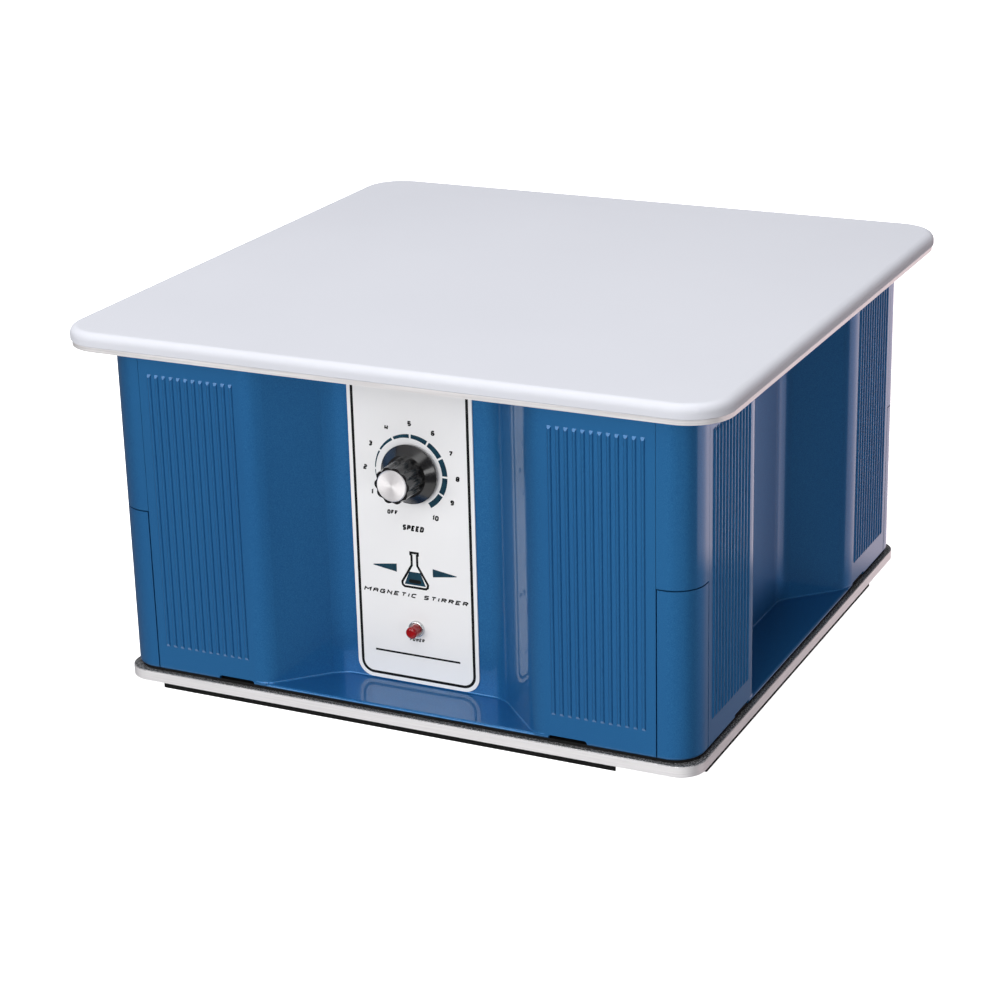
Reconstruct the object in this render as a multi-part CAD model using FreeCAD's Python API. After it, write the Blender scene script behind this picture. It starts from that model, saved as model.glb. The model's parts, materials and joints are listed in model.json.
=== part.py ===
import FreeCAD, Part
import math
import os

# Large-volume magnetic stirrer: a square work surface on a low square housing, with a motor
# inside that spins a magnet bar close under the surface.
#
# Millimetres.  The origin is on the floor under the middle of the housing, +Z is up and the
# control panel faces -Y.  Names ending in _Z are heights above the floor.

V = FreeCAD.Vector
ORIGIN = V(0, 0, 0)
X_AXIS = V(1, 0, 0)
Y_AXIS = V(0, 1, 0)
Z_AXIS = V(0, 0, 1)

# Every cutter that goes right through a wall runs this far past it
PAST = 1.0

# Stack of layers, from the floor up
OVERALL_HEIGHT = 203.2
STRIP_T = 3.0
BASE_T = 5.9
SHEET_T = 1.7
BACKING_T = 2.7
COVER_T = 7.4

BASE_Z = STRIP_T
BASE_TOP_Z = BASE_Z + BASE_T
HOUSING_Z = BASE_TOP_Z + SHEET_T
COVER_Z = OVERALL_HEIGHT - COVER_T
BACKING_Z = COVER_Z - BACKING_T

# Work surface
TOP_SIDE = 368.0
TOP_CORNER_R = 24.0
COVER_EDGE_R = 4.3
COVER_UNDERCUT = 0.5
BACKING_INSET = 0.9

# Housing
HOUSING_SIDE = 330.0
HOUSING_R = 16.0
WALL = 2.5
LOWER_EDGE_R = 1.5
FACE = -HOUSING_SIDE / 2
SEAM = 145.0
UPPER_SEAM_GAP = 0.2
LOWER_SEAM_GAP = 0.7
INSERT_TOP_Z = 101.0
INSERT_TOP_GAP = 0.7
TONGUE_WIDTH = 12.0
TONGUE_T = 2.0
TONGUE_ROOT = 4.0
TONGUE_PLAY = 0.1

# Recess in the middle of every side
SPLAY_ANGLE = 45.0
RECESS_MOUTH = 78.2
RECESS_DEPTH = 31.0
RECESS_BACK = RECESS_MOUTH - RECESS_DEPTH
RECESS_R = 16.0
RECESS_FLOOR_T = 2.0
RECESS_COVE_R = 0.8
RECESS_LIP_R = 1.4
RECESS_WALL_Y = FACE + RECESS_DEPTH

# Raised beads and lower notches on the pads beside each recess
BEAD_COUNT = 12
BEAD_FIRST_X = 89.5
BEAD_LAST_X = 138.5
BEAD_WIDTH = 2.2
BEAD_PROUD = 0.85
BEAD_BOTTOM_Z = 24.7
BEAD_TOP_Z = 178.5
BEAD_END_SLOPE = 27
NOTCH_IN_X = 86.0
NOTCH_OUT_X = 107.5
NOTCH_HEIGHT = 2.5
NOTCH_R = 1.6

# Base
BASE_SIDE = 334.0
BASE_R = 13.5
BASE_EDGE_CHAMFER = 0.35
SHEET_SIDE = 327.0
SHEET_R = 14.5
STRIP_WIDTH = 19.0
STRIP_INSET = 1.2
STRIP_CORNER_R = 0.5
FRONT_STRIP = (-143.0, 124.0)
SIDE_STRIP = (-149.0, 118.0)

# Load columns
COLUMN_X = 138.0
COLUMN_R = 11.0

# Countersunk screws: shank radius, head radius, head height and whole length
FRAME_SCREW = (2.5, 4.5, 2.2, 16.0)
MAGNET_SCREW = (1.5, 3.0, 1.5, 12.0)
INLET_SCREW = (1.6, 3.0, 1.5, 12.0)
SLOT_W = 1.0
SLOT_D = 0.8

# Control panel, knob, potentiometer and pilot lamp, all on one upright line a little left of the middle
PANEL_X = -2.6
PANEL_W = 71.6
PANEL_T = 0.8
PANEL_BOTTOM_Z = 13.4
PANEL_TOP_Z = BACKING_Z - 0.5
PANEL_R = 9.0
PANEL_FRONT_Y = RECESS_WALL_Y - PANEL_T
KNOB_Z = 132.0
SKIRT_GAP = 2.0
SKIRT_R = 16.0
SKIRT_RIM_T = 0.9
SKIRT_RIM_STEP = 0.25
SKIRT_SHOULDER_R = 11.4
SKIRT_LENGTH = 4.4
GRIP_R = 10.5
GRIP_FRONT_R = 10.0
GRIP_FLUTE = 1.0
GRIP_LENGTH = 15.0
FLUTE_COUNT = 10
KNOB_BORE_R = 3.05
KNOB_CUP_R = 8.6
KNOB_CUP_DEPTH = 3.2
SET_SCREW_R = 1.5
SET_SCREW_LENGTH = 5.0
SET_SCREW_UP = 3.0
SET_SCREW_ANGLE = 30.0
CAP_R = 8.4
CAP_T = 1.6
CAP_SEAT = 0.9
CAP_BEVEL = 0.45
SHAFT_R = 3.0
SHAFT_ENGAGEMENT = 10.0
KNOB_BORE_DEPTH = 12.5
POT_R = 12.0
POT_DEPTH = 12.0
POT_BACK_T = 2.5
POT_END_GAP = 0.5
POT_TAG = (2.4, 0.8, 5.0)
POT_TAG_PITCH = 5.0
POT_BUSH_R = 4.75
POT_BUSH_LENGTH = 6.5
POT_NUT_FLATS = 12.0
POT_NUT_T = 2.0
LAMP_Z = 45.0
LAMP_BEZEL_R = 4.5
LAMP_BEZEL_T = 1.5
LAMP_BEZEL_EDGE_R = 0.6
LAMP_BARREL_R = 3.7
LAMP_BARREL_LENGTH = 12.0
LENS_R = 3.2
LENS_EDGE_R = 1.5
LENS_PROUD = 7.5
LENS_STEM = 7.2

# Motor, standing on its own plate under the work surface
MOTOR_PLATE_SIDE = 170.0
MOTOR_PLATE_R = 10.0
MOTOR_PLATE_T = 4.0
MOTOR_PLATE_Z = 130.0
STANDOFF_X = 70.0
STANDOFF_R = 8.0
CAN_R = 46.0
CAN_WALL = 2.0
CAN_BOTTOM_Z = 66.0
BELL_SIDE = 104.0
BELL_R = 8.0
BELL_T = 5.0
TIE_X = 44.0
TIE_R = 2.0
NUT_FLATS = 7.0
NUT_T = 3.2
BOSS_R = 13.0
LOWER_BOSS_DROP = 7.0
BUSH_R = 8.0
UPPER_BUSH_LENGTH = 12.0
LOWER_BUSH_LENGTH = 10.0
LOWER_BUSH_DROP = 5.0
STATOR_BORE_R = 25.0
STATOR_LENGTH = 36.0
STATOR_SLOT_COUNT = 12
STATOR_SLOT_W = 5.0
STATOR_SLOT_D = 10.0
ROTOR_GAP = 0.5
ROTOR_BAR_R = 1.2
ROTOR_BAR_DIP = 1.0
ROTOR_BAR_CIRCLE_R = 21.0
ROTOR_BAR_COUNT = 18
WINDING_IN_R = 28.0
WINDING_OUT_R = 41.0
WINDING_LENGTH = 6.5
WINDING_EDGE_R = 2.0
MOTOR_SHAFT_R = 5.0
SHAFT_CLEARANCE = 0.05
SHAFT_BOTTOM_Z = 57.0
SHAFT_SHOULDER_R = 7.5
SHOULDER_GAP = 0.5

# Magnet carrier on the motor shaft
HUB_R = 16.0
HUB_FLANGE_T = 8.0
HUB_STEM_R = 11.0
HUB_Z = 150.0
HUB_LENGTH = 22.0
HUB_CLOSED_T = 4.0
MAGNET_SCREW_X = 10.5
YOKE_LENGTH = 150.0
YOKE_WIDTH = 42.0
YOKE_CORNER_R = 4.0
YOKE_T = 6.0
MAGNET_SIDE = 40.0
MAGNET_T = 10.0
MAGNET_CHAMFER = 0.8
MAGNET_X = 52.0

# Electrics
BOARD_X = -106.0
BOARD_W = 42.0
BOARD_L = 110.0
BOARD_T = 1.6
BOARD_Z = 22.0
BOARD_TOP_Z = BOARD_Z + BOARD_T
BOARD_POST_FLATS = 5.5
BOARD_POST_INSET = 5.0
BOARD_STUD_R = 1.6
BOARD_STUD_PROUD = 2.0
BOARD_HOLE_R = 4.0
RELAY = (16.0, 16.0, 15.0)
CHIP = (7.0, 22.0, 3.0)
TERMINAL = (24.0, 8.0, 9.0)
CHOKE = (8.0, 10.0)
SMALL_CAPACITOR = (4.0, 11.0)
SINK_X = BOARD_X - 16.0
SINK_PLATE = (3.0, 56.0, 30.0)
SINK_FIN = (10.0, 1.5, 30.0)
SINK_FIN_COUNT = 10
CAPACITOR_X = 106.0
CAPACITOR_R = 18.0
CAPACITOR_H = 68.0
CAPACITOR_EDGE_R = 2.5
CLAMP_T = 1.2
CLAMP_HEIGHT = 8.0
CLAMP_UP = 20.0
TAB = (0.8, 6.3, 9.0)
TAB_Y = 7.0
INLET_Z = 42.0
INLET_FLANGE = (50.0, 24.0, 3.0)
INLET_CORNER_R = 3.0
INLET_BODY = (27.4, 20.0, 22.0)
INLET_CAVITY = (24.4, 16.4, 17.0)
INLET_CAVITY_CHAMFER = 4.0
INLET_PLAY = 0.2
INLET_SCREW_X = 20.0
BLADE = (2.0, 4.0, 22.0)
BLADE_X = 7.0
BLADE_STAGGER = 2.0
BLADE_SET_BACK = 2.5
WIRE_R = 1.6
WIRE_BEND_R = 9.0

SIDES = (("front", 0), ("right", 90), ("rear", 180), ("left", 270))
CORNERS = (("front_right", 0), ("rear_right", 90), ("rear_left", 180), ("front_left", 270))


def save(name, shape):
    """Write one piece, or one group of like pieces, to its own file."""
    shape.exportStep("parts/" + name + ".step")


def group(shapes):
    return Part.makeCompound(list(shapes))


def box(x_range, y_range, z_range):
    """Block between three pairs of limits."""
    size = [limits[1] - limits[0] for limits in (x_range, y_range, z_range)]
    return Part.makeBox(size[0], size[1], size[2], V(x_range[0], y_range[0], z_range[0]))


def centred_box(centre, size):
    """Block of the given size with its middle at centre."""
    low = centre - V(size[0], size[1], size[2]) * 0.5
    return Part.makeBox(size[0], size[1], size[2], low)


def disc(radius, height, base, axis=Z_AXIS):
    return Part.makeCylinder(radius, height, base, axis)


def tube(outer, inner, height, base, axis=Z_AXIS):
    return disc(outer, height, base, axis).cut(disc(inner, height, base, axis))


def turned(shape, angle):
    """Copy turned about the upright axis through the origin."""
    copy = shape.copy()
    copy.rotate(ORIGIN, Z_AXIS, angle)
    return copy


def mirrored_x(shape):
    return shape.mirror(ORIGIN, X_AXIS)


def at_corners(reach):
    """The four places at +-reach in X and in Y."""
    return [V(x, y, 0) for x in (-reach, reach) for y in (-reach, reach)]


def corner_arc(before, corner, after, radius):
    """Start, middle and end of the arc that rounds a corner of a path."""
    back = (before - corner).normalize()
    ahead = (after - corner).normalize()
    half_angle = back.getAngle(ahead) / 2
    middle = (back + ahead).normalize() * (radius / math.sin(half_angle) - radius)
    reach = radius / math.tan(half_angle)
    return corner + back * reach, corner + middle, corner + ahead * reach


def rounded_path(points, radii, closed):
    """Straight runs joined by tangent arcs; a corner of radius 0 stays sharp."""
    count = len(points)
    stops = []
    for index, point in enumerate(points):
        if radii[index] > 0:
            after = points[(index + 1) % count]
            stops.append(corner_arc(points[index - 1], point, after, radii[index]))
        else:
            stops.append((point,))
    edges = []
    for index, stop in enumerate(stops):
        if len(stop) == 3:
            edges.append(Part.Arc(*stop).toShape())
        if closed or index < count - 1:
            following = stops[(index + 1) % count]
            edges.append(Part.LineSegment(stop[-1], following[0]).toShape())
    return Part.Wire(edges)


def prism(points, radii, height):
    """Upright solid on a closed outline with rounded corners."""
    return Part.Face(rounded_path(points, radii, True)).extrude(V(0, 0, height))


def rounded_square(side, radius, z, height):
    half = side / 2
    corners = [V(-half, -half, z), V(half, -half, z), V(half, half, z), V(-half, half, z)]
    return prism(corners, [radius] * 4, height)


def edges_at(shape, z):
    """Edges that lie wholly at height z."""
    found = []
    for edge in shape.Edges:
        limits = edge.BoundBox
        if abs(limits.ZMin - z) < 1e-4 and abs(limits.ZMax - z) < 1e-4:
            found.append(edge)
    return found


def countersunk_screw(seat, direction, size):
    """Flat-headed screw with its head's face at seat and its shank along direction."""
    radius, head_r, head_h, length = size
    head = Part.makeCone(head_r, radius, head_h, seat, direction)
    shank = disc(radius, length - head_h, seat + direction * head_h, direction)
    upright = abs(direction.z) > 0.5
    slot_size = (2 * head_r, SLOT_W, 2 * SLOT_D) if upright else (2 * head_r, 2 * SLOT_D, SLOT_W)
    return head.fuse(shank).removeSplitter().cut(centred_box(seat, slot_size))


def screw_hole(seat, direction, size):
    """Solid that cuts the hole and countersink for such a screw."""
    radius, head_r, head_h, length = size
    head = Part.makeCone(head_r, radius, head_h, seat, direction)
    return head.fuse(disc(radius, length, seat, direction)).removeSplitter()


def screws(seats, direction, size):
    return group(countersunk_screw(seat, direction, size) for seat in seats)


def with_screw_holes(shape, seats, direction, size):
    return shape.cut([screw_hole(seat, direction, size) for seat in seats])


def hexagon(flats, height, base, axis=Z_AXIS):
    """Hexagonal prism measured across its flats."""
    circle_r = flats / 2 / math.cos(math.radians(30))
    points = []
    for index in range(7):
        angle = math.radians(60 * index)
        points.append(V(circle_r * math.cos(angle), circle_r * math.sin(angle), 0))
    shape = Part.Face(Part.makePolygon(points)).extrude(V(0, 0, height))
    shape.Placement = FreeCAD.Placement(base, FreeCAD.Rotation(Z_AXIS, axis))
    return shape


# Work surface ----------------------------------------------------------------------------

def top_cover():
    """White slab with a rounded upper edge and a small relief under its lower edge."""
    slab = rounded_square(TOP_SIDE, TOP_CORNER_R, COVER_Z, COVER_T)
    slab = slab.makeFillet(COVER_EDGE_R, edges_at(slab, OVERALL_HEIGHT))
    return slab.makeChamfer(COVER_UNDERCUT, edges_at(slab, COVER_Z))


def column_seats(z):
    return [place + V(0, 0, z) for place in at_corners(COLUMN_X)]


def top_backing_plate():
    """Metal plate that carries the cover and rests on the columns and the housing."""
    side = TOP_SIDE - 2 * BACKING_INSET
    plate = rounded_square(side, TOP_CORNER_R - BACKING_INSET, BACKING_Z, BACKING_T)
    return with_screw_holes(plate, column_seats(COVER_Z), -Z_AXIS, FRAME_SCREW)


# Housing ---------------------------------------------------------------------------------

def recess_points(z, offset):
    """Plan of one side's recess, offset into the housing, from left to right."""
    shift = offset * math.tan(math.radians(SPLAY_ANGLE / 2))
    mouth = RECESS_MOUTH + shift
    back = RECESS_BACK + shift
    near = FACE + offset
    far = FACE + RECESS_DEPTH + offset
    return [V(-mouth, near, z), V(-back, far, z), V(back, far, z), V(mouth, near, z)]


def recess_cutter():
    """Space of the recess above its floor, with a small cove round the floor's back."""
    z = HOUSING_Z + RECESS_FLOOR_T
    end = RECESS_MOUTH + RECESS_R
    ahead = FACE - RECESS_R
    points = [V(end, ahead, z), V(-end, ahead, z), V(-end, FACE, z)]
    points = points + recess_points(z, 0) + [V(end, FACE, z)]
    cutter = prism(points, [0, 0, 0] + [RECESS_R] * 4 + [0], BACKING_Z - z + PAST)
    wall_edges = [edge for edge in edges_at(cutter, z) if edge.BoundBox.YMin > FACE - 0.01]
    return cutter.makeFillet(RECESS_COVE_R, wall_edges)


def lip_cutter():
    """Takes the sharp upper edge off the front of the recess floor."""
    z = HOUSING_Z + RECESS_FLOOR_T
    centre = V(-RECESS_MOUTH, FACE + RECESS_LIP_R, z - RECESS_LIP_R)
    block = box((-RECESS_MOUTH, RECESS_MOUTH), (FACE - PAST, centre.y), (centre.z, z + PAST))
    return block.cut(disc(RECESS_LIP_R, 2 * RECESS_MOUTH, centre, X_AXIS))


def bead(x):
    """Half-round raised bead on a pad, whose two ends slope back into the face."""
    radius = (BEAD_WIDTH ** 2 / 4 + BEAD_PROUD ** 2) / (2 * BEAD_PROUD)
    rise = 1 / math.tan(math.radians(BEAD_END_SLOPE))
    ahead, behind = BEAD_PROUD * rise, radius * rise
    rod = disc(radius, BEAD_TOP_Z - BEAD_BOTTOM_Z + 2 * behind,
               V(x, FACE - BEAD_PROUD + radius, BEAD_BOTTOM_Z - behind))
    left, front, back = x - radius, FACE - BEAD_PROUD, FACE + radius
    side = [V(left, front, BEAD_BOTTOM_Z + ahead), V(left, back, BEAD_BOTTOM_Z - behind),
            V(left, back, BEAD_TOP_Z + behind), V(left, front, BEAD_TOP_Z - ahead)]
    outline = Part.makePolygon(side + side[:1])
    return rod.common(Part.Face(outline).extrude(V(2 * radius, 0, 0)))


def notch_cutter():
    """Low opening in the bottom edge of a pad, with rounded upper corners."""
    top = HOUSING_Z + NOTCH_HEIGHT
    block = box((NOTCH_IN_X, NOTCH_OUT_X), (FACE - PAST, FACE + WALL + PAST), (HOUSING_Z - PAST, top))
    edges = [edge for edge in block.Edges
             if edge.BoundBox.XLength < 1e-3 and abs(edge.BoundBox.ZMin - top) < 1e-3]
    return block.makeFillet(NOTCH_R, edges)


def plain_side_panel():
    """Moulded panel for one side: two beaded pads with the recess between them."""
    end = SEAM - UPPER_SEAM_GAP / 2
    inner = recess_points(HOUSING_Z, WALL)
    inner.reverse()
    points = [V(-end, FACE, HOUSING_Z), V(end, FACE, HOUSING_Z), V(end, FACE + WALL, HOUSING_Z)]
    points = points + inner + [V(-end, FACE + WALL, HOUSING_Z)]
    mouth_r = RECESS_R - WALL
    back_r = RECESS_R + WALL
    radii = [0, 0, 0, mouth_r, back_r, back_r, mouth_r, 0]
    panel = prism(points, radii, BACKING_Z - HOUSING_Z)
    front_edge = [edge for edge in edges_at(panel, HOUSING_Z) if edge.BoundBox.YMax < FACE + 1e-3]
    panel = panel.makeFillet(LOWER_EDGE_R, front_edge)
    panel = panel.cut(recess_cutter()).cut(lip_cutter())
    pitch = (BEAD_LAST_X - BEAD_FIRST_X) / (BEAD_COUNT - 1)
    beads = [bead(BEAD_FIRST_X + pitch * index) for index in range(BEAD_COUNT)]
    beads = beads + [mirrored_x(one) for one in beads]
    panel = panel.fuse(beads)
    notch = notch_cutter()
    return panel.cut([notch, mirrored_x(notch)])


def corner_shell(z, height, gap):
    """Rounded corner of the housing with a tongue behind each neighbouring panel."""
    start = SEAM - UPPER_SEAM_GAP / 2 + gap
    face = HOUSING_SIDE / 2
    inner = face - WALL
    points = [V(start, -face, z), V(face, -face, z), V(face, -start, z),
              V(inner, -start, z), V(inner, -inner, z), V(start, -inner, z)]
    shell = prism(points, [0, HOUSING_R, 0, 0, HOUSING_R - WALL, 0], height)
    tongue_y = TONGUE_PLAY - inner
    depth = (tongue_y, tongue_y + TONGUE_T)
    tongue = box((start - TONGUE_WIDTH, start + TONGUE_ROOT), depth, (z, z + height))
    root = box((start + gap, start + TONGUE_ROOT), (-inner - WALL / 2, depth[1]), (z, z + height))
    front_tongue = tongue.fuse(root)
    side_tongue = front_tongue.mirror(ORIGIN, V(1, 1, 0))
    return shell.fuse([front_tongue, side_tongue]).removeSplitter()


def corner_cover():
    """Upper part of a housing corner."""
    z = INSERT_TOP_Z + INSERT_TOP_GAP
    return corner_shell(z, BACKING_Z - z, UPPER_SEAM_GAP)


def corner_insert():
    """Removable lower part of a housing corner, with a rounded lower edge."""
    insert = corner_shell(HOUSING_Z, INSERT_TOP_Z - HOUSING_Z, LOWER_SEAM_GAP)
    bends = [edge for edge in edges_at(insert, HOUSING_Z)
             if isinstance(edge.Curve, Part.Circle) and abs(edge.Curve.Radius - HOUSING_R) < 1e-3]
    return insert.makeFillet(LOWER_EDGE_R, bends)


# Base ------------------------------------------------------------------------------------

def base_places():
    return at_corners(COLUMN_X) + at_corners(STANDOFF_X)


def base_seats():
    return [place + V(0, 0, BASE_Z) for place in base_places()]


def damping_sheet():
    """Black sheet between the housing and the base, open around what stands on the base."""
    sheet = rounded_square(SHEET_SIDE, SHEET_R, BASE_TOP_Z, SHEET_T)
    openings = [disc(COLUMN_R + 1, SHEET_T, place + V(0, 0, BASE_TOP_Z)) for place in base_places()]
    openings += [disc(BOARD_HOLE_R, SHEET_T, post) for post in board_posts()]
    openings.append(disc(CAPACITOR_R + 1, SHEET_T, V(CAPACITOR_X, 0, BASE_TOP_Z)))
    return sheet.cut(openings)


def base_plate():
    plate = rounded_square(BASE_SIDE, BASE_R, BASE_Z, BASE_T)
    plate = plate.makeChamfer(BASE_EDGE_CHAMFER, edges_at(plate, BASE_Z) + edges_at(plate, BASE_TOP_Z))
    return with_screw_holes(plate, base_seats(), Z_AXIS, FRAME_SCREW)


def foot_strip(limits):
    """Rubber strip under one edge: square at its start, cut at 45 degrees at its end."""
    outer = -BASE_SIDE / 2 + STRIP_INSET
    inner = outer + STRIP_WIDTH
    start, end = limits
    points = [V(start, outer, 0), V(end, outer, 0), V(end - STRIP_WIDTH, inner, 0), V(start, inner, 0)]
    return prism(points, [STRIP_CORNER_R] * 4, STRIP_T)


def tapped_post(place, radius, top_z, seat_z):
    """Round post from the base to top_z, tapped for the screws at its foot and at seat_z."""
    post = disc(radius, top_z - BASE_TOP_Z, place + V(0, 0, BASE_TOP_Z))
    thread_r, length = FRAME_SCREW[0], FRAME_SCREW[3]
    lower = disc(thread_r, length, place + V(0, 0, BASE_Z))
    upper = disc(thread_r, length, place + V(0, 0, seat_z - length))
    return post.cut([lower, upper])


def support_column(place):
    """Load post between the base and the backing plate, tapped at both ends."""
    return tapped_post(place, COLUMN_R, BACKING_Z, COVER_Z)


# Controls --------------------------------------------------------------------------------

def control_panel():
    """Thin label plate on the back of the front recess, rounded at its lower corners."""
    half = PANEL_W / 2
    y = PANEL_FRONT_Y
    left, right = PANEL_X - half, PANEL_X + half
    points = [V(left, y, PANEL_BOTTOM_Z), V(right, y, PANEL_BOTTOM_Z),
              V(right, y, PANEL_TOP_Z), V(left, y, PANEL_TOP_Z)]
    outline = rounded_path(points, [PANEL_R, PANEL_R, 0, 0], True)
    plate = Part.Face(outline).extrude(V(0, PANEL_T, 0))
    return plate.cut([disc(POT_BUSH_R, PANEL_T, V(PANEL_X, y, KNOB_Z), Y_AXIS),
                      disc(LAMP_BARREL_R, PANEL_T, V(PANEL_X, y, LAMP_Z), Y_AXIS)])


def flute_outline(radius, y):
    """Closed wavy curve around the knob's axis."""
    steps = FLUTE_COUNT * 10
    points = []
    for index in range(steps):
        angle = 2 * math.pi * index / steps
        reach = radius - GRIP_FLUTE * (0.5 - 0.5 * math.cos(FLUTE_COUNT * angle)) ** 1.5
        points.append(V(PANEL_X + reach * math.cos(angle), y, KNOB_Z + reach * math.sin(angle)))
    curve = Part.BSplineCurve()
    curve.interpolate(points, PeriodicFlag=True)
    return Part.Wire([curve.toShape()])


def knob_body():
    """Skirted knob: a thin rim, a cone and a fluted grip with a seat for its cap."""
    rim_y = PANEL_FRONT_Y - SKIRT_GAP
    forward = -Y_AXIS
    rim = disc(SKIRT_R, SKIRT_RIM_T, V(PANEL_X, rim_y, KNOB_Z), forward)
    cone_y = rim_y - SKIRT_RIM_T
    cone = Part.makeCone(SKIRT_R - SKIRT_RIM_STEP, SKIRT_SHOULDER_R, SKIRT_LENGTH - SKIRT_RIM_T,
                         V(PANEL_X, cone_y, KNOB_Z), forward)
    grip_y = rim_y - SKIRT_LENGTH
    front_y = grip_y - GRIP_LENGTH
    outlines = [flute_outline(GRIP_R, grip_y + SKIRT_RIM_T), flute_outline(GRIP_FRONT_R, front_y)]
    grip = Part.makeLoft(outlines, True, True)
    body = rim.fuse([cone, grip])
    cup = disc(KNOB_CUP_R, KNOB_CUP_DEPTH, V(PANEL_X, rim_y, KNOB_Z), forward)
    seat = disc(CAP_R, CAP_SEAT, V(PANEL_X, front_y, KNOB_Z), Y_AXIS)
    bore = disc(KNOB_BORE_R, KNOB_BORE_DEPTH, V(PANEL_X, rim_y, KNOB_Z), forward)
    return body.cut([cup, seat, bore, knob_set_screw()])


def knob_set_screw():
    """Set screw through the grip to the shaft, on the far side from the index at OFF."""
    y = PANEL_FRONT_Y - SKIRT_GAP - SKIRT_LENGTH - SET_SCREW_UP
    outward = V(math.sin(math.radians(SET_SCREW_ANGLE)), 0, math.cos(math.radians(SET_SCREW_ANGLE)))
    return disc(SET_SCREW_R, SET_SCREW_LENGTH, V(PANEL_X, y, KNOB_Z) + outward * SHAFT_R, outward)


def knob_cap():
    """Turned metal disc let into the front of the grip, bevelled round its edge."""
    front_y = PANEL_FRONT_Y - SKIRT_GAP - SKIRT_LENGTH - GRIP_LENGTH
    cap = disc(CAP_R, CAP_T, V(PANEL_X, front_y + CAP_SEAT, KNOB_Z), -Y_AXIS)
    face_y = front_y + CAP_SEAT - CAP_T
    edges = [edge for edge in cap.Edges if edge.BoundBox.YMax < face_y + 1e-3]
    return cap.makeChamfer(CAP_BEVEL, edges)


def pot_shaft():
    start = V(PANEL_X, RECESS_WALL_Y + WALL + POT_DEPTH - POT_BACK_T - POT_END_GAP, KNOB_Z)
    end_y = PANEL_FRONT_Y - SKIRT_GAP - SHAFT_ENGAGEMENT
    return disc(SHAFT_R, start.y - end_y, start, -Y_AXIS)


def pot_body():
    """Potentiometer behind the recess wall, with its threaded bush through the wall."""
    back = RECESS_WALL_Y + WALL
    can = disc(POT_R, POT_DEPTH, V(PANEL_X, back, KNOB_Z), Y_AXIS)
    bush = disc(POT_BUSH_R, POT_BUSH_LENGTH, V(PANEL_X, back, KNOB_Z), -Y_AXIS)
    tag_z = KNOB_Z - POT_R - 0.3 * POT_TAG[2]
    tags = [centred_box(V(PANEL_X + x, back + POT_DEPTH / 2, tag_z), POT_TAG)
            for x in (-POT_TAG_PITCH, 0.0, POT_TAG_PITCH)]
    bore_start = V(PANEL_X, back - POT_BUSH_LENGTH, KNOB_Z)
    bore = disc(SHAFT_R + SHAFT_CLEARANCE, POT_BUSH_LENGTH + POT_DEPTH - POT_BACK_T, bore_start, Y_AXIS)
    return can.fuse([bush] + tags).cut(bore)


def pot_nut():
    nut = hexagon(POT_NUT_FLATS, POT_NUT_T, V(PANEL_X, PANEL_FRONT_Y - POT_NUT_T, KNOB_Z), Y_AXIS)
    return nut.cut(disc(POT_BUSH_R, POT_NUT_T, V(PANEL_X, PANEL_FRONT_Y - POT_NUT_T, KNOB_Z), Y_AXIS))


def lamp_bezel():
    """Bright flange and snap-in barrel of the pilot lamp."""
    front = V(PANEL_X, PANEL_FRONT_Y, LAMP_Z)
    flange = disc(LAMP_BEZEL_R, LAMP_BEZEL_T, front, -Y_AXIS)
    front_edges = [edge for edge in flange.Edges
                   if edge.BoundBox.YMax < PANEL_FRONT_Y - LAMP_BEZEL_T + 1e-3]
    flange = flange.makeFillet(LAMP_BEZEL_EDGE_R, front_edges)
    barrel = disc(LAMP_BARREL_R, LAMP_BARREL_LENGTH, front, Y_AXIS)
    bore = disc(LENS_R, LAMP_BARREL_LENGTH, V(PANEL_X, PANEL_FRONT_Y - LAMP_BEZEL_T, LAMP_Z), Y_AXIS)
    return flange.fuse(barrel).cut(bore)


def lamp_lens():
    """Red lens: a plain cylinder with a rounded front edge."""
    tip_y = PANEL_FRONT_Y - LENS_PROUD
    lens = disc(LENS_R, LENS_PROUD + LENS_STEM, V(PANEL_X, tip_y, LAMP_Z), Y_AXIS)
    return lens.makeFillet(LENS_EDGE_R, [edge for edge in lens.Edges if edge.BoundBox.YMax < tip_y + 1e-3])


def front_panel():
    """Front side panel with its holes for the potentiometer and the lamp."""
    ahead = RECESS_WALL_Y - PAST
    holes = [disc(POT_BUSH_R, WALL + 2 * PAST, V(PANEL_X, ahead, KNOB_Z), Y_AXIS),
             disc(LAMP_BARREL_R, WALL + 2 * PAST, V(PANEL_X, ahead, LAMP_Z), Y_AXIS)]
    return plain_side_panel().cut(holes)


# Motor -----------------------------------------------------------------------------------

def motor_plate_seats():
    return [place + V(0, 0, MOTOR_PLATE_Z + MOTOR_PLATE_T) for place in at_corners(STANDOFF_X)]


def motor_plate():
    plate = rounded_square(MOTOR_PLATE_SIDE, MOTOR_PLATE_R, MOTOR_PLATE_Z, MOTOR_PLATE_T)
    holes = [disc(BOSS_R + PAST, MOTOR_PLATE_T, V(0, 0, MOTOR_PLATE_Z))]
    holes += [disc(TIE_R, MOTOR_PLATE_T, place + V(0, 0, MOTOR_PLATE_Z)) for place in at_corners(TIE_X)]
    return with_screw_holes(plate.cut(holes), motor_plate_seats(), -Z_AXIS, FRAME_SCREW)


def motor_standoffs():
    """Four posts that carry the motor plate, tapped at both ends."""
    seat_z = MOTOR_PLATE_Z + MOTOR_PLATE_T
    return group(tapped_post(place, STANDOFF_R, MOTOR_PLATE_Z, seat_z)
                 for place in at_corners(STANDOFF_X))


def bush_place(upper):
    """Height of the lower end of a bush, and its length."""
    if upper:
        return MOTOR_PLATE_Z - BELL_T, UPPER_BUSH_LENGTH
    return CAN_BOTTOM_Z - BELL_T - LOWER_BUSH_DROP, LOWER_BUSH_LENGTH


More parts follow.
